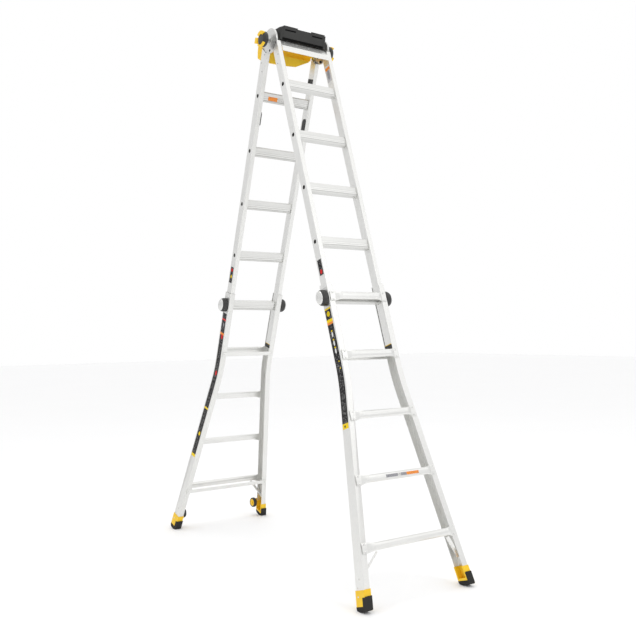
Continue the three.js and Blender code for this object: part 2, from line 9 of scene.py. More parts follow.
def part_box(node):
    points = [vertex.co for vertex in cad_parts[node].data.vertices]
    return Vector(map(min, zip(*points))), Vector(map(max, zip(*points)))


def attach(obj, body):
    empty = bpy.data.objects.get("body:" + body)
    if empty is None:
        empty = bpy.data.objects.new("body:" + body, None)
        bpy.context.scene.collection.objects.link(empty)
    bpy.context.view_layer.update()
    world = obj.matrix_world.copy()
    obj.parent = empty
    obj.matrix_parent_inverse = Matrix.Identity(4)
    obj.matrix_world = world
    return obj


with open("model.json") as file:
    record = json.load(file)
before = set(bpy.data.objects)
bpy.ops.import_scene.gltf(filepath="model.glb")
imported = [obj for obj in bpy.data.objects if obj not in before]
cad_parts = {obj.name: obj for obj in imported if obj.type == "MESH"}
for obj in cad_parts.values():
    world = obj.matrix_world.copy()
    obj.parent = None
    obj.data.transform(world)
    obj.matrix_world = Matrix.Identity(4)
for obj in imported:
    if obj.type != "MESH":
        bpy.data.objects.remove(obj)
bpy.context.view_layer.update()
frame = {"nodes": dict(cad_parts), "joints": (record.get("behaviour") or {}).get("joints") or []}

JOINTS = {joint["name"]: joint for joint in frame["joints"]}
HINGE = Vector(JOINTS["rear_fold"]["pos_m"])
LEAN = math.atan2(-JOINTS["rear_extend"]["axis"][1], JOINTS["rear_extend"]["axis"][2])
SIN, COS = math.sin(LEAN), math.cos(LEAN)
FRONT, REAR = -1, 1
SECTIONS = {"front": FRONT, "rear": REAR}
SIDES = {"right": 1, "left": -1}

# Distances in a section's own frame: x sideways, n outward of the hinge axis, s down the rail.
RAIL_N = 0.040
FIRST_RUNG, PITCH = 0.296, 0.3048
INNER_FACE, OUTER_FACE = 0.1795, 0.185
INNER_RAIL_WIDTH = 0.0265
INNER_BACK = INNER_FACE - INNER_RAIL_WIDTH
FLARE_START, FLARE_BLEND, FLARE_SLOPE = 1.936, 0.080, 0.143
OUTER_RUNGS, TIE_BAR_RUNGS, LOCK_RUNG = range(5, 10), (6, 9), 5


def level(k):
    """Distance down the rail to rung k, counted from the hinge."""
    return FIRST_RUNG + (k - 1) * PITCH


def flare(s):
    """Sideways shift of an outer rail at distance s."""
    past = s - FLARE_START
    if past <= -FLARE_BLEND:
        return 0.0
    if past >= FLARE_BLEND:
        return FLARE_SLOPE * past
    return FLARE_SLOPE * (past + FLARE_BLEND) ** 2 / (4 * FLARE_BLEND)


def spot(out, x, n, s):
    """The world point at (x, n, s) of the front or rear section."""
    return Vector((x, out * (n * COS + s * SIN), HINGE.z + n * SIN - s * COS))


def placed(out, x, n, s):
    """Matrix whose X is world X, Y points outward and Z points up the rail, set at that spot."""
    outward = Vector((0, out * COS, SIN))
    up_rail = Vector((0, -out * SIN, COS))
    matrix = Matrix((Vector((1, 0, 0)), outward, up_rail)).transposed().to_4x4()
    matrix.translation = spot(out, x, n, s)
    return matrix


# ---- Materials ----------------------------------------------------------------------------
class Shader:
    """A small builder for a procedural material around one Principled shader."""

    def __init__(self, name, roughness=0.5, metallic=0.0, specular=0.5):
        self.material = bpy.data.materials.new(name)
        self.material.use_nodes = True
        self.tree = self.material.node_tree
        self.shader = self.tree.nodes["Principled BSDF"]
        self.shader.inputs["Roughness"].default_value = roughness
        self.shader.inputs["Metallic"].default_value = metallic
        self.shader.inputs["Specular IOR Level"].default_value = specular
        self.place = self.tree.nodes.new("ShaderNodeTexCoord").outputs["Object"]

    def node(self, kind, **settings):
        made = self.tree.nodes.new(kind)
        for key, value in settings.items():
            setattr(made, key, value)
        return made

    def link(self, source, target):
        self.tree.links.new(source, target)

    def mapped(self, scale, rotation=(0, 0, 0), location=(0, 0, 0)):
        mapping = self.node("ShaderNodeMapping")
        mapping.inputs["Scale"].default_value = scale
        mapping.inputs["Rotation"].default_value = rotation
        mapping.inputs["Location"].default_value = location
        self.link(self.place, mapping.inputs["Vector"])
        return mapping.outputs["Vector"]

    def noise(self, scale, detail=3.0, roughness=0.55, vector=None):
        made = self.node("ShaderNodeTexNoise")
        made.inputs["Scale"].default_value = scale
        made.inputs["Detail"].default_value = detail
        made.inputs["Roughness"].default_value = roughness
        self.link(vector or self.place, made.inputs["Vector"])
        return made.outputs["Fac"]

    def maths(self, operation, a, b=0.0, c=0.0, clamp=False):
        made = self.node("ShaderNodeMath", operation=operation, use_clamp=clamp)
        for socket, value in zip(made.inputs, (a, b, c)):
            if isinstance(value, (int, float)):
                socket.default_value = value
            else:
                self.link(value, socket)
        return made.outputs[0]

    def ramp(self, source, stops, interpolation="LINEAR"):
        made = self.node("ShaderNodeValToRGB")
        ramp = made.color_ramp
        ramp.interpolation = interpolation
        while len(ramp.elements) < len(stops):
            ramp.elements.new(0.5)
        for element, (position, colour) in zip(ramp.elements, stops):
            element.position = position
            element.color = (*colour, 1)
        self.link(source, made.inputs["Fac"])
        return made.outputs["Color"]

    def mix(self, factor, a, b):
        made = self.node("ShaderNodeMix", data_type="RGBA")
        for socket, value in ((made.inputs[0], factor), (made.inputs[6], a), (made.inputs[7], b)):
            if isinstance(value, (int, float)):
                socket.default_value = value
            elif isinstance(value, tuple):
                socket.default_value = (*value, 1)
            else:
                self.link(value, socket)
        return made.outputs[2]

    def span(self, source, low, high, a=0.0, b=1.0):
        made = self.node("ShaderNodeMapRange")
        for socket, value in zip(made.inputs, (source, low, high, a, b)):
            if isinstance(value, (int, float)):
                socket.default_value = value
            else:
                self.link(value, socket)
        return made.outputs[0]

    def axes(self):
        made = self.node("ShaderNodeSeparateXYZ")
        self.link(self.place, made.inputs[0])
        return made.outputs

    def bump(self, height, strength, distance):
        made = self.node("ShaderNodeBump")
        made.inputs["Strength"].default_value = strength
        made.inputs["Distance"].default_value = distance
        self.link(height, made.inputs["Height"])
        self.link(made.outputs[0], self.shader.inputs["Normal"])

    def finish(self, colour=None, roughness=None):
        if colour is not None:
            self.link(colour, self.shader.inputs["Base Color"])
        if roughness is not None:
            self.link(roughness, self.shader.inputs["Roughness"])
        return self.material


# Colours of the metal, the height that dust reaches, and noise scales: low ones draw long marks.
METAL_BRIGHT, METAL_DULL, METAL_WORN = (0.86, 0.86, 0.84), (0.77, 0.77, 0.75), (0.62, 0.62, 0.61)
METAL_DUSTY, GROOVE_SHADOW = (0.70, 0.68, 0.64), (0.30, 0.30, 0.29)
DUST_TOP = 0.9
LINE_LONG, LINE_FINE = 3, 420
SCUFF_LONG, SCUFF_FINE = 26, 90
GROOVE_DEPTH = 4.0

# A rung's drawn face: distance below its middle, then height from 0 in a groove to 1 on a ridge; lower
# heights also get more painted shade.
RUNG_HALF_SPAN = 0.03
RUNG_RIDGES = ((-0.028, 0.85), (-0.003, 0.80), (-0.0015, 0.35), (0.0, 1.0), (0.006, 1.0), (0.0075, 0.15),
               (0.009, 1.0), (0.0145, 0.95), (0.0165, 0.1), (0.019, 0.75), (0.028, 0.6))


def toned(tone, colour):
    return tuple(tone * c for c in colour)


def aluminium(name, lean, tone=1.0, along_x=False, rough=0.36, grooves=False):
    """Satin drawn aluminium: fine die lines along the bar, faint stains, scuffs and dust; grooved rungs get
    painted shade in their grooves.
    """
    m = Shader(name, metallic=0.82, roughness=rough)
    rotation = (-lean, 0, 0)
    line_scale = (LINE_FINE, LINE_FINE, LINE_LONG)
    scuff_scale = (SCUFF_FINE, SCUFF_FINE, SCUFF_LONG)
    if along_x:
        line_scale = (LINE_LONG, LINE_FINE, LINE_FINE)
        scuff_scale = (SCUFF_LONG, SCUFF_LONG, SCUFF_FINE)
    lines = m.noise(1.0, 4.0, 0.65, m.mapped(line_scale, rotation))
    cloud = m.noise(5.0, 4.0, 0.6)
    fine = m.noise(240.0, 2.0, 0.5)
    scuff = m.span(m.noise(1.0, 6.0, 0.75, m.mapped(scuff_scale, rotation, (3, 1, 7))), 0.66, 0.74)
    bright, dull, worn = (toned(tone, colour) for colour in (METAL_BRIGHT, METAL_DULL, METAL_WORN))
    colour = m.mix(m.span(lines, 0.3, 0.7), dull, bright)
    colour = m.mix(m.span(cloud, 0.45, 0.8, 0.0, 0.5), colour, dull)
    colour = m.mix(m.maths("MULTIPLY", scuff, 0.35), colour, worn)
    near_floor = m.span(m.axes()[2], DUST_TOP, 0.0, 0.0, 0.35)
    dust = m.maths("MULTIPLY", near_floor, m.span(cloud, 0.35, 0.75))
    colour = m.mix(dust, colour, toned(tone, METAL_DUSTY))
    streaks = m.span(lines, 0.2, 0.8, rough - 0.07, rough + 0.09)
    spread = m.maths("ADD", streaks, m.maths("MULTIPLY", scuff, 0.12))
    surface = m.maths("ADD", lines, m.maths("MULTIPLY", fine, 0.35))
    if grooves:
        profile = rung_profile(m, FRONT if lean < 0 else REAR)
        # Painted shade: the lower the profile, the darker the metal, most in the grooves.
        colour = m.mix(m.span(profile, 1.0, 0.0, 0.0, 0.80), colour, GROOVE_SHADOW)
        surface = m.maths("ADD", surface, m.maths("MULTIPLY", profile, GROOVE_DEPTH))
    m.bump(surface, 0.22, 0.0004)
    return m.finish(colour, spread)


def rung_profile(m, out):
    """Height of a rung's drawn face by distance below its middle, the same on every rung; it also sets how
    much painted shade the grooves get.
    """
    _, y, z = m.axes()
    below = m.maths("SUBTRACT", HINGE.z, z)
    down_rail = m.maths("ADD", m.maths("MULTIPLY", y, out * SIN), m.maths("MULTIPLY", below, COS))
    turns = m.maths("DIVIDE", m.maths("SUBTRACT", down_rail, FIRST_RUNG - PITCH / 2), PITCH)
    offset = m.maths("SUBTRACT", m.maths("FRACT", turns), 0.5)
    along = m.span(m.maths("MULTIPLY", offset, PITCH), -RUNG_HALF_SPAN, RUNG_HALF_SPAN)
    stops = [((at + RUNG_HALF_SPAN) / (2 * RUNG_HALF_SPAN), (v, v, v)) for at, v in RUNG_RIDGES]
    return m.ramp(along, stops)


def plastic(name, colour, dark, rough=0.48, grain=900.0, specular=0.45, bumpiness=0.25):
    """Moulded plastic with a fine spark-eroded grain, a little colour drift and rubbed patches."""
    m = Shader(name, roughness=rough, specular=specular)
    drift = m.noise(9.0, 3.0, 0.6)
    grains = m.noise(grain, 2.0, 0.6)
    rub = m.span(m.noise(38.0, 5.0, 0.7), 0.58, 0.72)
    rubbed = tuple(min(1, c * 1.25 + 0.02) for c in colour)
    tint = m.mix(m.span(drift, 0.3, 0.75), colour, dark)
    tint = m.mix(m.maths("MULTIPLY", rub, 0.18), tint, rubbed)
    grained = m.span(grains, 0.2, 0.8, rough - 0.06, rough + 0.08)
    spread = m.maths("ADD", grained, m.maths("MULTIPLY", rub, -0.08))
    m.bump(grains, bumpiness, 0.0003)
    return m.finish(tint, spread)


YELLOW, YELLOW_DARK = (0.93, 0.60, 0.018), (0.86, 0.53, 0.012)
BLACK, BLACK_DARK = (0.032, 0.032, 0.031), (0.022, 0.022, 0.021)
BUCKET_DARK = (0.88, 0.54, 0.012)
TRAY, TRAY_DARK = (0.034, 0.034, 0.032), (0.024, 0.024, 0.023)
RUBBER, RUBBER_DUSTY = (0.022, 0.022, 0.021), (0.034, 0.033, 0.031)
# Near-black painted shade for the tray's slots and the band under its lip.
SHADE_BLACK, SHADE_BLACK_DEEP = (0.004, 0.004, 0.004), (0.006, 0.006, 0.006)
AXLE_END = (0.10, 0.10, 0.10)
REAR_TONE, RUNG_ROUGH = 0.97, 0.33

MATERIALS = {
    "front_aluminium": aluminium("front_aluminium", -LEAN),
    "rear_aluminium": aluminium("rear_aluminium", LEAN, REAR_TONE),
    "front_rung": aluminium("front_rung", -LEAN, along_x=True, rough=RUNG_ROUGH),
    "rear_rung": aluminium("rear_rung", LEAN, REAR_TONE, along_x=True, rough=RUNG_ROUGH),
    "front_grooved": aluminium("front_grooved", -LEAN, along_x=True, rough=RUNG_ROUGH, grooves=True),
    "rear_grooved": aluminium("rear_grooved", LEAN, REAR_TONE, along_x=True, rough=RUNG_ROUGH, grooves=True),
    "rivet": aluminium("rivet", 0.0, tone=0.62, rough=0.30),
    "cap": aluminium("cap", 0.0, tone=0.95, rough=0.26),
    "hinge_steel": aluminium("hinge_steel", 0.0, tone=0.86, rough=0.30),
    "yellow": plastic("yellow", YELLOW, YELLOW_DARK, rough=0.42),
    "bucket": plastic("bucket", YELLOW, BUCKET_DARK, rough=0.5, grain=700.0),
    "black": plastic("black", BLACK, BLACK_DARK, rough=0.42),
    "tray": plastic("tray", TRAY, TRAY_DARK, 0.45, grain=600.0, specular=0.35, bumpiness=0.4),
    "rubber": plastic("rubber", RUBBER, RUBBER_DUSTY, 0.78, grain=500.0, specular=0.25, bumpiness=0.5),
    # Painted shade: a flat near-black for recesses and the shadow under the tray's lip.
    "painted_shade": plastic("painted_shade", SHADE_BLACK, SHADE_BLACK_DEEP, rough=0.85, specular=0.08),
}
WHEEL_HUB, WHEEL_AXLE = 0.0235, 0.006


def wheel_material(name, centre):
    """A grey axle end and a yellow hub inside a black tyre, split by distance from the axle."""
    m = Shader(name, roughness=0.5)
    _, y, z = m.axes()
    across = m.maths("SUBTRACT", y, centre.y)
    above = m.maths("SUBTRACT", z, centre.z)
    squares = m.maths("ADD", m.maths("MULTIPLY", across, across), m.maths("MULTIPLY", above, above))
    distance = m.maths("SQRT", squares)
    grains = m.noise(700.0, 2.0)
    tread = m.span(distance, WHEEL_HUB - 0.0002, WHEEL_HUB + 0.0002)
    hub = m.mix(m.span(grains, 0.3, 0.7), YELLOW, YELLOW_DARK)
    tyre = m.mix(m.span(grains, 0.3, 0.7), BLACK, BLACK_DARK)
    past_axle = m.span(distance, WHEEL_AXLE, WHEEL_AXLE + 0.0003)
    colour = m.mix(tread, m.mix(past_axle, AXLE_END, hub), tyre)
    m.bump(grains, 0.35, 0.0003)
    return m.finish(colour, m.span(tread, 0, 1, 0.42, 0.62))


# ---- Mesh helpers -------------------------------------------------------------------------
class Piece:
    """Collects solids in one mesh, in world coordinates."""

    def __init__(self):
        self.mesh = bmesh.new()

    def add(self, verts, faces, matrix):
        made = [self.mesh.verts.new(matrix @ Vector(v)) for v in verts]
        for face in faces:
            self.mesh.faces.new([made[i] for i in face])
        return self

    def box(self, matrix, size, cut=0.0):
        """A box centred on the matrix, its edges along local Z chamfered by cut."""
        x, y, z = (v / 2 for v in size)
        outline = [(-x, -y), (x, -y), (x, y), (-x, y)]
        if cut:
            outline = [(-x + cut, -y), (x - cut, -y), (x, -y + cut), (x, y - cut),
                       (x - cut, y), (-x + cut, y), (-x, y - cut), (-x, -y + cut)]
        return self.prism(matrix, outline, -z, z)

    def prism(self, matrix, outline, low, high):
        """An outline in local X and Y carried along local Z."""
        count = len(outline)
        verts = [(a, b, low) for a, b in outline] + [(a, b, high) for a, b in outline]
        faces = [tuple(reversed(range(count))), tuple(range(count, 2 * count))]
        faces += [(i, (i + 1) % count, count + (i + 1) % count, count + i) for i in range(count)]
        return self.add(verts, faces, matrix)

    def turned(self, matrix, profile, steps=20):
        """A profile of (radius, height) turned about local Z; it starts and ends on the axis."""
        verts, rings = [], []
        for radius, height in profile:
            if radius < 1e-7:
                rings.append([len(verts)])
                verts.append((0, 0, height))
            else:
                start = len(verts)
                rings.append(list(range(start, start + steps)))
                for i in range(steps):
                    angle = math.tau * i / steps
                    verts.append((radius * math.cos(angle), radius * math.sin(angle), height))
        faces = []
        for a, b in zip(rings, rings[1:]):
            for i in range(steps):
                j = (i + 1) % steps
                if len(a) == 1:
                    faces.append((a[0], b[i], b[j]))
                elif len(b) == 1:
                    faces.append((a[i], a[j], b[0]))
                else:
                    faces.append((a[i], a[j], b[j], b[i]))
        return self.add(verts, faces, matrix)

    def sweep(self, points, radius, steps=10):
        """A round wire through the points, closed at both ends."""
        rings, verts = [], []
        for i, point in enumerate(points):
            ahead = (points[min(i + 1, len(points) - 1)] - points[max(i - 1, 0)]).normalized()
            if i == 0:
                side = ahead.orthogonal().normalized()
            else:
                side = (side - ahead * side.dot(ahead)).normalized()
            third = ahead.cross(side)
            start = len(verts)
            rings.append(range(start, start + steps))
            for k in range(steps):
                angle = math.tau * k / steps
                verts.append(point + radius * (math.cos(angle) * side + math.sin(angle) * third))
        faces = [tuple(rings[0]), tuple(reversed(rings[-1]))]
        for a, b in zip(rings, rings[1:]):
            faces += [(a[k], a[(k + 1) % steps], b[(k + 1) % steps], b[k]) for k in range(steps)]
        return self.add(verts, faces, Matrix.Identity(4))

    def done(self, name, body, material, slot, smooth=True, bevel=0.0):
        bmesh.ops.recalc_face_normals(self.mesh, faces=self.mesh.faces)
        data = bpy.data.meshes.new(name)
        self.mesh.to_mesh(data)
        self.mesh.free()
        made = bpy.data.objects.new(name, data)
        bpy.context.scene.collection.objects.link(made)
        data.materials.append(MATERIALS[material] if isinstance(material, str) else material)
        if bevel:
            rounded = made.modifiers.new("soft edges", "BEVEL")
            rounded.width, rounded.segments, rounded.limit_method = bevel, 2, "ANGLE"
        if smooth:
            smooth_by_angle(data)
        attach(made, body)
        return made


def smooth_by_angle(data, angle=math.radians(32)):
    """Smooth shading with edges sharper than the angle kept."""
    for face in data.polygons:
        face.use_smooth = True
    mesh = bmesh.new()
    mesh.from_mesh(data)
    sharp = [e.index for e in mesh.edges if len(e.link_faces) != 2 or e.calc_face_angle(0) > angle]
    mesh.free()
    for index in sharp:
        data.edges[index].use_edge_sharp = True


TOWARD_X = {1: Matrix.Rotation(math.pi / 2, 4, "Y"), -1: Matrix.Rotation(-math.pi / 2, 4, "Y")}
OUTWARD = Matrix.Rotation(-math.pi / 2, 4, "X")
INWARD = Matrix.Rotation(math.pi / 2, 4, "X")
RIVET = [(0, 0), (1, 0), (0.96, 0.22), (0.72, 0.48), (0.38, 0.60), (0, 0.64)]
SLAB_FACES = [(0, 1, 2, 3), (7, 6, 5, 4), (0, 4, 5, 1), (1, 5, 6, 2), (2, 6, 7, 3), (3, 7, 4, 0)]


def rivet(piece, matrix, radius=0.0045):
    """A domed rivet head standing on the matrix's X-Y plane."""
    return piece.turned(matrix, [(radius * a, radius * b) for a, b in RIVET], 14)


# ---- CAD nodes: finishes and soft edges -----------------------------------------------------
# The first key found in a node's name gives its finish, and {} stands for its section.
FINISHES = (("inner_rung", "{}_grooved"), ("rung", "{}_rung"), ("tie_bar", "{}_rung"),
            ("crossbar", "{}_rung"), ("rail", "{}_aluminium"), ("knee", "{}_aluminium"),
            ("hinge_plate", "hinge_steel"), ("boot", "yellow"), ("sole", "rubber"),
            ("tray", "tray"), ("bucket", "bucket"))


def finish_of(name):
    if "wheel" in name:
        wheel_low, wheel_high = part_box(name)
        return wheel_material(name + "_finish", (wheel_low + wheel_high) / 2)
    section = "front" if name.startswith("front") or name == "top_crossbar" else "rear"
    finish = next((value for key, value in FINISHES if key in name), "black")
    return MATERIALS[finish.format(section)]


EDGE_ROUND = {"sole": 0.0045, "boot": 0.0015, "tray": 0.0022, "bucket": 0.0025, "outer_rail": 0.0012,
              "inner_rail": 0.0006, "tie_bar": 0.0008, "knee": 0.0008, "crossbar": 0.0008}

for name, node in frame["nodes"].items():
    node.data.materials.clear()
    node.data.materials.append(finish_of(name))
    weld = node.modifiers.new("weld", "WELD")
    weld.merge_threshold = 0.00002
    width = next((value for key, value in EDGE_ROUND.items() if key in name), 0.0)
    if width:
        edge = node.modifiers.new("soft edges", "BEVEL")
        edge.width, edge.segments, edge.limit_method = width, 2, "ANGLE"
        edge.angle_limit = math.radians(40)

# ---- Rivets -------------------------------------------------------------------------------
FLANGE_OUT, FLANGE_IN = 0.0363, 0.0361
RUNG_RIVET_X, RUNG_RIVET_GAP, TIE_RIVET_X = 0.163, 0.018, 0.168
# Outer rail's web: distance down, how far past the rail's face, shift towards +Y, radius.
WEB_RIVETS = ((2.936, 0.003, 0.012, 0.0042), (2.898, 0.0, 0.016, 0.0040),
              (level(9) + 0.128, 0.0, 0.0, 0.0050))
# Inner rail's web over the hinge leg: n from the rail's middle, then distance down.
LEG_RIVETS = ((-0.012, 0.075), (0.012, 0.12), (-0.008, 0.165))
CROSSBAR_TILT = math.atan2(23, 47.6)

for section, out in SECTIONS.items():
    outer = Piece()
    for k in OUTER_RUNGS:
        reach = RUNG_RIVET_X + flare(level(k))
        for side in (1, -1):
            for offset in (-RUNG_RIVET_GAP, RUNG_RIVET_GAP):
                at = placed(out, side * reach, RAIL_N + FLANGE_OUT, level(k) + offset)
                rivet(outer, at @ OUTWARD, 0.0048)
    for k in TIE_BAR_RUNGS:
        reach = TIE_RIVET_X + flare(level(k))
        for side in (1, -1):
            rivet(outer, placed(out, side * reach, RAIL_N - FLANGE_IN, level(k)) @ INWARD, 0.0045)
    for side in (1, -1):
        for s, proud, shift, radius in WEB_RIVETS:
            web = side * (OUTER_FACE + proud + flare(s))
            rivet(outer, placed(out, web, RAIL_N + out * shift, s) @ TOWARD_X[side], radius)
    outer.done(f"{section}_outer_rivets", f"{section}_outer", "cap", "fitting_aluminium")
    inner = Piece()
    for side in (1, -1):
        for n, s in LEG_RIVETS:
            rivet(inner, placed(out, side * INNER_FACE, RAIL_N + n, s) @ TOWARD_X[side], 0.0042)
    if section == "front":
        tilt = Matrix.Rotation(CROSSBAR_TILT, 4, "X")
        for x in (-0.12, -0.04, 0.04, 0.12):
            rivet(inner, placed(out, x, 0.0522, 0.0342) @ tilt @ OUTWARD, 0.0040)
    inner.done(f"{section}_inner_rivets", f"{section}_inner", "rivet", "fitting_aluminium")

# ---- Rail end caps, fold bumpers, strap clip --------------------------------------------------
CAP_LEVEL, RIM_LEVEL, BUMPER_LEVEL, CLIP_LEVEL = 1.7795, 1.7665, 0.452, 0.166
BUMPER_SHIFT, BUMPER_THICKNESS = 0.008, 0.006
BUMPER = [(-0.015, 0.0), (0.015, 0.0), (0.015, 0.060), (0.011, 0.070), (0.004, 0.075),
          (-0.004, 0.075), (-0.011, 0.070), (-0.015, 0.060)]
SWAP_YZ = Matrix(((1, 0, 0, 0), (0, 0, 1, 0), (0, 1, 0, 0), (0, 0, 0, 1)))

for section, out in SECTIONS.items():
    caps, rims = Piece(), Piece()
    for side in (1, -1):
        middle = side * (INNER_FACE - INNER_RAIL_WIDTH / 2)
        caps.box(placed(out, middle, RAIL_N, CAP_LEVEL), (0.0275, 0.051, 0.022), 0.002)
        rims.box(placed(out, middle, RAIL_N, RIM_LEVEL), (0.0268, 0.0503, 0.0035), 0.002)
    caps.done(f"{section}_rail_end_caps", f"{section}_inner", "black", "knob_plastic", bevel=0.001)
    rims.done(f"{section}_rail_end_cap_rims", f"{section}_inner", "yellow", "boot_plastic")
bumpers = Piece()
for side in (1, -1):
    at = placed(REAR, side * INNER_BACK, RAIL_N - BUMPER_SHIFT, BUMPER_LEVEL)
    upright = at @ Matrix.Rotation(math.pi / 2, 4, "Z") @ SWAP_YZ
    bumpers.prism(upright, BUMPER, *sorted((0.0, side * BUMPER_THICKNESS)))
bumpers.done("rear_fold_bumpers", "rear_inner", "black", "knob_plastic", bevel=0.001)
clip = Piece()
for shift in (-0.0115, 0.0115):
    at = placed(REAR, INNER_BACK - 0.004, RAIL_N - BUMPER_SHIFT + shift, CLIP_LEVEL)
    clip.box(at, (0.008, 0.020, 0.028), 0.001)
clip.done("hinge_strap_clip", "rear_inner", "black", "knob_plastic", bevel=0.001)

# ---- Painted shade on the slanted rail ends: thin black strips for their dark open ends -------
# Ends of the slant as (n, s). Inside the front rails the painted shade strips stop half way up.
SLANT_HIGH, SLANT_LOW, SLANT_HALF = (0.065, 0.039), (0.015, 0.064), (0.040, 0.0515)
SHADE_STRIP_WIDTH, SHADE_STRIP_THICKNESS = 0.0030, 0.0006
for section, out in SECTIONS.items():
    shade_strips = Piece()
    for side in (1, -1):
        for face, thick in ((INNER_FACE, SHADE_STRIP_THICKNESS), (INNER_BACK, -SHADE_STRIP_THICKNESS)):
            top = SLANT_HALF if thick < 0 and section == "front" else SLANT_HIGH
            corners = [SLANT_LOW, top] + [(n, s + SHADE_STRIP_WIDTH) for n, s in (top, SLANT_LOW)]
            verts = [spot(out, side * (face + lift), n, s) for lift in (0.0, thick) for n, s in corners]
            shade_strips.add(verts, SLAB_FACES, Matrix.Identity(4))
    # Black sheets that paint the shade of the open rail ends.
    shade_strips.done(f"{section}_rail_end_shade_strips", f"{section}_inner", "black", "knob_plastic", smooth=False)

# ---- Front of the tray: painted shade in the slots, a painted shadow band at the foot, raised frame ---
TRAY_FOOT_Y, TRAY_FOOT_Z, TRAY_SLOPE_RUN, TRAY_SLOPE_RISE = -0.061, -0.003, 0.019, 0.065
# Painted shade: dark sheets in the recessed slots, and a painted shadow band under the lip at the foot of the
# front.
SLOT_X, SLOT_Z = (0.054, 0.124), (0.0435, 0.0505)
SHADOW_BAND_X, SHADOW_BAND_TOP = 0.1355, 0.0085
FRAME_X, FRAME_INNER_X, FRAME_PROUD = 0.1340, 0.1322, 0.0009


def tray_front(z):
    """Y of the tray's leaning front face at height z above the hinge axis."""
    return TRAY_FOOT_Y - TRAY_SLOPE_RUN * (z - TRAY_FOOT_Z) / TRAY_SLOPE_RISE


def front_panel(piece, x0, x1, z0, z1, proud):
    """A thin slab lying on the tray's front face."""
    verts = []
    for lift in (-0.0004, proud):
        for x, z in ((x0, z0), (x1, z0), (x1, z1), (x0, z1)):
            verts.append(HINGE + Vector((x, tray_front(z) - lift, z)))
    piece.add(verts, SLAB_FACES, Matrix.Identity(4))


slot_and_band_shades = Piece()
for side in (1, -1):
    # Painted shade standing in for each recessed slot.
    front_panel(slot_and_band_shades, *sorted(side * x for x in SLOT_X), *SLOT_Z, 0.0003)
# Painted shadow band along the foot of the tray's front.
front_panel(slot_and_band_shades, -SHADOW_BAND_X, SHADOW_BAND_X, TRAY_FOOT_Z, SHADOW_BAND_TOP, 0.0006)
slot_and_band_shades.done("tray_front_slot_and_band_shades", "front_inner", "painted_shade", "tray_plastic", smooth=False)
ribs = Piece()
front_panel(ribs, -FRAME_X, FRAME_X, 0.0090, 0.0108, FRAME_PROUD)
for side in (1, -1):
    front_panel(ribs, *sorted((side * FRAME_INNER_X, side * FRAME_X)), 0.0108, 0.0560, FRAME_PROUD)
ribs.done("tray_front_frame", "front_inner", "tray", "tray_plastic", smooth=False)

# ---- Hinge: springs, knob ears, washers, bumpers ------------------------------------------------
SPRING_START, SPRING_END, SPRING_RADIUS, SPRING_WIRE = 0.1815, 0.2075, 0.012, 0.0013
SPRING_TURNS, SPRING_STEPS = 5.0, 120
EAR_REACH, EAR_INNER, EAR_ENDS = 0.0425, {1: 0.032, -1: 0.0235}, (0.2255, 0.2385)
EAR_START, EAR_STEP, EAR_POINTS = -48, 8, 13
WASHER = [(0, 0.1775), (0.017, 0.1775), (0.017, 0.1795), (0.0145, 0.1805), (0, 0.1805)]
STOP = [(0, 0), (0.0072, 0), (0.0080, 0.001), (0.0080, 0.0155), (0.0066, 0.017), (0, 0.017)]
STOP_X, STOP_Y, STOP_Z = 0.1605, 0.001, -0.0530

for side_name, side in SIDES.items():
    coil = []
    for i in range(SPRING_STEPS + 1):
        t = i / SPRING_STEPS
        angle = math.tau * SPRING_TURNS * t
        along = side * (SPRING_START + (SPRING_END - SPRING_START) * t)
        coil.append(HINGE + Vector((along, SPRING_RADIUS * math.cos(angle), SPRING_RADIUS * math.sin(angle))))
    spring = Piece().sweep(coil, SPRING_WIRE, 8)
    spring.done(f"{side_name}_hinge_spring", "front_inner", "hinge_steel", "hinge_steel")
    ears = Piece()
    axis = Matrix.Translation(HINGE) @ TOWARD_X[side]
    for up in (1, -1):
        angles = [math.pi / 2 * up + math.radians(EAR_START + EAR_STEP * i) for i in range(EAR_POINTS)]
        outline = [(EAR_REACH * math.cos(a), EAR_REACH * math.sin(a)) for a in angles]
        outline += [(EAR_INNER[up] * math.cos(a), EAR_INNER[up] * math.sin(a)) for a in reversed(angles)]
        ears.prism(axis @ Matrix.Rotation(math.pi / 2, 4, "Z"), outline, *EAR_ENDS)
    body = f"{side_name}_hinge_release"
    ears.done(f"{side_name}_hinge_knob_ears", body, "yellow", "boot_plastic", bevel=0.0015)
    washer = Piece().turned(axis, WASHER, 28)
    washer.done(f"{side_name}_hinge_washer", "front_inner", "cap", "hinge_steel")
    below_disc = Matrix.Translation(HINGE + Vector((side * STOP_X, STOP_Y, STOP_Z))) @ TOWARD_X[side]
    stop = Piece().turned(below_disc, STOP, 24)
    stop.done(f"{side_name}_hinge_bumper", "front_inner", "rubber", "knob_plastic")

# ---- Side locks: bright cap and back plate ------------------------------------------------------
OVAL = Matrix.Diagonal((1.0, 0.79, 1.0, 1.0))
LOCK_CAP = [(0, 0.2205), (0.0335, 0.2205), (0.0345, 0.2225), (0.0320, 0.2262), (0.022, 0.2292), (0, 0.2300)]
LOCK_PLATE = (0.0014, 0.050, 0.104)
for section, out in SECTIONS.items():
    for side_name, side in SIDES.items():
        centre = placed(out, 0, RAIL_N, level(LOCK_RUNG)) @ TOWARD_X[side]
        cap = Piece().turned(centre @ OVAL, LOCK_CAP, 36)
        cap.done(f"{section}_{side_name}_lock_cap", f"{section}_{side_name}_lock", "cap", "hinge_steel")
        plate_name = f"{section}_{side_name}_lock_plate"
        plate = Piece().box(placed(out, side * (OUTER_FACE + 0.0008), RAIL_N, level(LOCK_RUNG)), LOCK_PLATE)
        plate.done(plate_name, f"{section}_outer", "hinge_steel", "hinge_steel", bevel=0.0004)

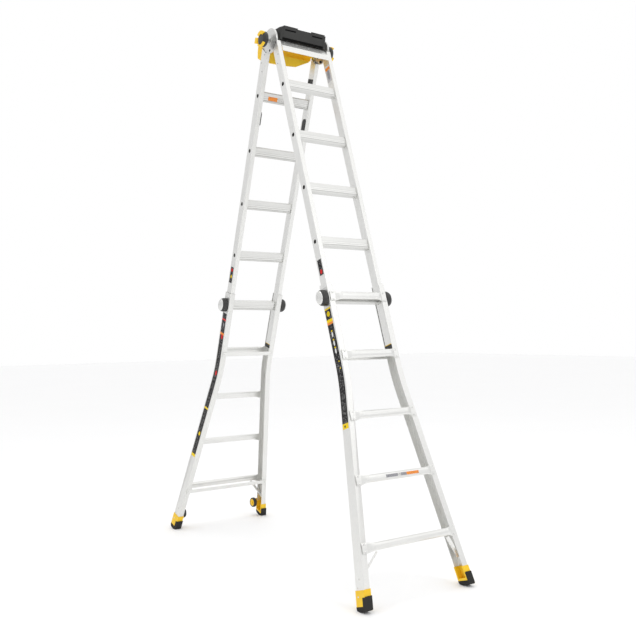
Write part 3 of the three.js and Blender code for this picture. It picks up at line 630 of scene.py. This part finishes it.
# ---- Labels: plain coloured panels, no words --------------------------------------------------
PRINT_BLACK, PRINT_YELLOW, PRINT_ORANGE = (0.014, 0.013, 0.014), (0.88, 0.62, 0.0), (0.86, 0.26, 0.02)
PRINT_RED, PRINT_WHITE, PRINT_GREY = (0.62, 0.02, 0.02), (0.8, 0.8, 0.78), (0.30, 0.30, 0.32)
PRINT_AMBER, PALE, BLOB = (0.70, 0.52, 0.0), (0.62, 0.62, 0.60), (0.45, 0.45, 0.44)
LABEL_THICKNESS = 0.0004


def label_material(name, out, n0, n1, s0, s1, bands, marks, seed):
    """A printed panel: bands of colour down its length and soft blobs for its pictures."""
    m = Shader(name, roughness=0.5, specular=0.15)
    _, y, z = m.axes()
    below = m.maths("SUBTRACT", HINGE.z, z)
    outward = m.maths("MULTIPLY", y, float(out))
    s = m.maths("ADD", m.maths("MULTIPLY", outward, SIN), m.maths("MULTIPLY", below, COS))
    n = m.maths("SUBTRACT", m.maths("MULTIPLY", outward, COS), m.maths("MULTIPLY", below, SIN))
    along = m.span(s, s0, s1)
    across = m.span(n, n0, n1)
    colour = m.ramp(along, bands, "CONSTANT")
    joined = m.node("ShaderNodeCombineXYZ")
    m.link(m.maths("MULTIPLY", n, 1000.0), joined.inputs[0])
    m.link(m.maths("MULTIPLY", s, 1000.0), joined.inputs[1])
    joined.inputs[2].default_value = seed
    blobs = m.node("ShaderNodeTexNoise")
    blobs.inputs["Scale"].default_value = 0.16
    blobs.inputs["Detail"].default_value = 1.0
    m.link(joined.outputs[0], blobs.inputs["Vector"])
    speck = m.span(blobs.outputs["Fac"], 0.52, 0.60)
    inset = m.maths("MULTIPLY", m.span(across, 0.10, 0.16), m.span(across, 0.90, 0.84))
    colour = m.mix(m.maths("MULTIPLY", m.maths("MULTIPLY", speck, inset), 0.30), colour, BLOB)
    for centre_s, centre_n, size_s, size_n, tint in marks:
        ds = m.maths("DIVIDE", m.maths("SUBTRACT", s, centre_s), size_s)
        dn = m.maths("DIVIDE", m.maths("SUBTRACT", n, centre_n), size_n)
        reach = m.maths("ADD", m.maths("MULTIPLY", ds, ds), m.maths("MULTIPLY", dn, dn))
        colour = m.mix(m.span(reach, 1.05, 0.85), colour, tint)
    grains = m.noise(1500.0, 1.0)
    m.bump(grains, 0.05, 0.0002)
    return m.finish(colour, m.span(grains, 0.2, 0.8, 0.45, 0.60))


def web_label(name, section, side, n0, n1, s0, s1, face, bands, marks, seed, facing=1, steps=1, bend=False):
    """A thin panel on a rail's web, following the flare where the rail has one."""
    out = SECTIONS[section]
    verts = []
    for i in range(steps + 1):
        s = s0 + (s1 - s0) * i / steps
        shift = flare(s) if bend else 0.0
        for n in (n0, n1):
            for lift in (0.0, LABEL_THICKNESS):
                verts.append(spot(out, side * (face + shift + facing * lift), n, s))
    faces = []
    for a in range(0, 4 * steps, 4):
        b = a + 4
        faces += [(a + 1, a + 3, b + 3, b + 1), (a, b, b + 2, a + 2)]
        faces += [(a, a + 1, b + 1, b), (a + 2, b + 2, b + 3, a + 3)]
    end = 4 * steps
    faces += [(0, 2, 3, 1), (end, end + 1, end + 3, end + 2)]
    piece = Piece().add(verts, faces, Matrix.Identity(4))
    material = label_material(name + "_print", out, n0, n1, s0, s1, bands, marks, seed)
    body = f"{section}_outer" if bend else f"{section}_inner"
    piece.done(name, body, material, "knob_plastic", smooth=False)


# Marks are ovals: middle as (s, n), half sizes as (s, n), colour.
MARK_N = RAIL_N - 0.0035
front_marks = [(1.598, MARK_N, 0.014, 0.013, PRINT_AMBER)]
for s in (1.705, 1.750, 1.790):
    front_marks.append((s, MARK_N, 0.014, 0.006, PRINT_WHITE))
    front_marks.append((s - 0.018, MARK_N, 0.004, 0.006, PRINT_YELLOW))
for s in (1.845, 1.880):
    front_marks.append((s, MARK_N + 0.009, 0.004, 0.004, PRINT_YELLOW))
front_marks.append((2.166, MARK_N - 0.004, 0.006, 0.006, PRINT_BLACK))
front_bands = [(0.0, PRINT_YELLOW), (0.018, PRINT_BLACK), (0.098, PRINT_YELLOW), (0.122, PRINT_ORANGE),
               (0.142, PRINT_BLACK), (0.957, PRINT_YELLOW)]
web_label("front_safety_label", "front", -1, RAIL_N - 0.027, RAIL_N + 0.020, 1.5636, 2.1786, OUTER_FACE,
          front_bands, front_marks, 3.1, steps=24, bend=True)
rear_marks = [(1.715, MARK_N, 0.016, 0.012, PRINT_RED), (1.640, MARK_N, 0.012, 0.006, PRINT_GREY),
              (1.950, MARK_N, 0.016, 0.010, PRINT_RED), (2.350, MARK_N, 0.013, 0.010, PRINT_YELLOW)]
rear_bands = [(0.0, PRINT_BLACK), (0.040, PRINT_RED), (0.052, PRINT_BLACK), (0.135, PRINT_ORANGE),
              (0.150, PRINT_BLACK), (0.650, PRINT_YELLOW), (0.664, PRINT_BLACK), (0.980, PRINT_YELLOW)]
web_label("rear_safety_label", "rear", -1, RAIL_N - 0.022, RAIL_N + 0.022, 1.5616, 2.5030, OUTER_FACE,
          rear_bands, rear_marks, 8.4, steps=34, bend=True)
small_bands = [(0.0, PRINT_BLACK), (0.6, PRINT_BLACK)]
web_label("front_small_label", "front", -1, RAIL_N - 0.014, RAIL_N + 0.018, 1.310, 1.393, INNER_FACE,
          small_bands, [(1.375, RAIL_N + 0.002, 0.012, 0.010, PRINT_RED)], 1.7)
web_label("rear_small_label", "rear", -1, RAIL_N - 0.014, RAIL_N + 0.016, 1.282, 1.378, INNER_FACE,
          small_bands, [(1.30, RAIL_N, 0.010, 0.010, PRINT_RED), (1.34, RAIL_N, 0.010, 0.007, PRINT_YELLOW)],
          5.2)
web_label("front_right_inside_label", "front", 1, RAIL_N - 0.018, RAIL_N + 0.018, 0.115, 0.235, INNER_BACK,
          [(0.0, (0.70, 0.70, 0.70)), (0.10, PRINT_ORANGE), (0.26, (0.55, 0.55, 0.58)), (0.86, PRINT_WHITE)],
          [(0.175, RAIL_N, 0.030, 0.012, PRINT_GREY)], 6.6, facing=-1)


def rung_label(name, section, k, x0, x1, lift, height, body, colours, depth):
    """A small printed panel, depth outward of a rung's middle, split into colours along x."""
    at = placed(SECTIONS[section], (x0 + x1) / 2, RAIL_N + depth + LABEL_THICKNESS / 2, level(k) - lift)
    piece = Piece().box(at, (x1 - x0, LABEL_THICKNESS, height))
    m = Shader(name + "_print", roughness=0.4)
    print_colour = m.ramp(m.span(m.axes()[0], x0, x1), colours, "CONSTANT")
    speck = m.span(m.noise(260.0, 1.0), 0.52, 0.62, 0.0, 0.5)
    material = m.finish(m.mix(speck, print_colour, (0.10, 0.09, 0.09)), m.noise(900.0, 1.0))
    piece.done(name, body, material, "knob_plastic", smooth=False)


rung_label("rear_top_rung_label", "rear", 1, -0.118, -0.008, -0.004, 0.022, "rear_inner",
           [(0.0, PRINT_ORANGE), (0.55, PALE)], -0.0165)
rung_label("front_low_rung_label", "front", 8, -0.085, 0.120, 0.0, 0.014, "front_outer",
           [(0.0, PRINT_GREY), (0.35, PALE), (0.44, PRINT_GREY), (0.62, PRINT_ORANGE)], 0.0562)

# ---- Floor, light and camera ----------------------------------------------------------------
def floor_material():
    m = Shader("studio_floor", roughness=0.6, specular=0.2)
    soft = m.noise(0.8, 2.0)
    return m.finish(m.mix(soft, (0.93, 0.93, 0.93), (0.95, 0.95, 0.95)))


FLOOR_SIZE, FLOOR_LEVEL = 60, -0.0005
AMBIENT_STRENGTH, SKY_FULL_AT = 1.10, 0.75
SKY_LOW, SKY_WHITE = (0.67, 0.67, 0.68, 1), (1, 1, 1, 1)

bpy.ops.mesh.primitive_plane_add(size=FLOOR_SIZE, location=(0, 0, FLOOR_LEVEL))
floor = bpy.context.object
floor.name = "studio_floor"
floor.data.materials.append(floor_material())

world = bpy.data.worlds.new("studio")
bpy.context.scene.world = world
world.use_nodes = True
sky = world.node_tree
backdrop = sky.nodes["Background"]
backdrop.inputs["Color"].default_value = SKY_WHITE
backdrop.inputs["Strength"].default_value = 1.0
ambient = sky.nodes.new("ShaderNodeBackground")
ambient.inputs["Strength"].default_value = AMBIENT_STRENGTH
seen = sky.nodes.new("ShaderNodeLightPath")
choice = sky.nodes.new("ShaderNodeMixShader")
sky.links.new(seen.outputs["Is Camera Ray"], choice.inputs[0])
sky.links.new(ambient.outputs[0], choice.inputs[1])
sky.links.new(backdrop.outputs[0], choice.inputs[2])
sky.links.new(choice.outputs[0], sky.nodes["World Output"].inputs["Surface"])
heights = sky.nodes.new("ShaderNodeTexCoord")
split = sky.nodes.new("ShaderNodeSeparateXYZ")
sky.links.new(heights.outputs["Generated"], split.inputs[0])
shade = sky.nodes.new("ShaderNodeValToRGB")
for element, (position, colour) in zip(shade.color_ramp.elements, ((0.0, SKY_LOW), (SKY_FULL_AT, SKY_WHITE))):
    element.position, element.color = position, colour
sky.links.new(split.outputs[2], shade.inputs["Fac"])
sky.links.new(shade.outputs["Color"], ambient.inputs["Color"])


def area_light(name, place, target, size, power):
    data = bpy.data.lights.new(name, "AREA")
    data.shape, data.size, data.energy = "SQUARE", size, power
    lamp = bpy.data.objects.new(name, data)
    lamp.location = place
    lamp.rotation_euler = (Vector(target) - Vector(place)).to_track_quat("-Z", "Y").to_euler()
    bpy.context.scene.collection.objects.link(lamp)


area_light("key", (1.5, -5.5, 4.2), (0, 0, 1.4), size=2.6, power=50)
area_light("top", (0.0, 0.5, 6.5), (0, 0, 1.0), size=3.0, power=45)

# The camera fitted to the photo: place in metres, turn as a rotation vector in radians, lens in mm.
CAMERA_PLACE, CAMERA_TURN = Vector((-2.5477, -3.7692, 1.2462)), Vector((1.529, -0.489, 0.467))
CAMERA_LENS, CAMERA_SENSOR, CAMERA_SHIFT = 45.75, 36.0, (0.0100, 0.0412)
camera_data = bpy.data.cameras.new("camera")
camera = bpy.data.objects.new("camera", camera_data)
bpy.context.scene.collection.objects.link(camera)
camera_data.sensor_width = CAMERA_SENSOR
camera_data.lens = CAMERA_LENS
camera_data.shift_x, camera_data.shift_y = CAMERA_SHIFT
camera_data.clip_end = 100
camera_data.dof.use_dof = False
world_to_view = Matrix.Rotation(CAMERA_TURN.length, 3, CAMERA_TURN.normalized())
right, down, ahead = (Vector(row) for row in world_to_view)
pose = Matrix((right, -down, -ahead)).transposed().to_4x4()
pose.translation = CAMERA_PLACE
camera.matrix_world = pose
bpy.context.scene.camera = camera
bpy.context.scene.view_settings.view_transform = "Standard"
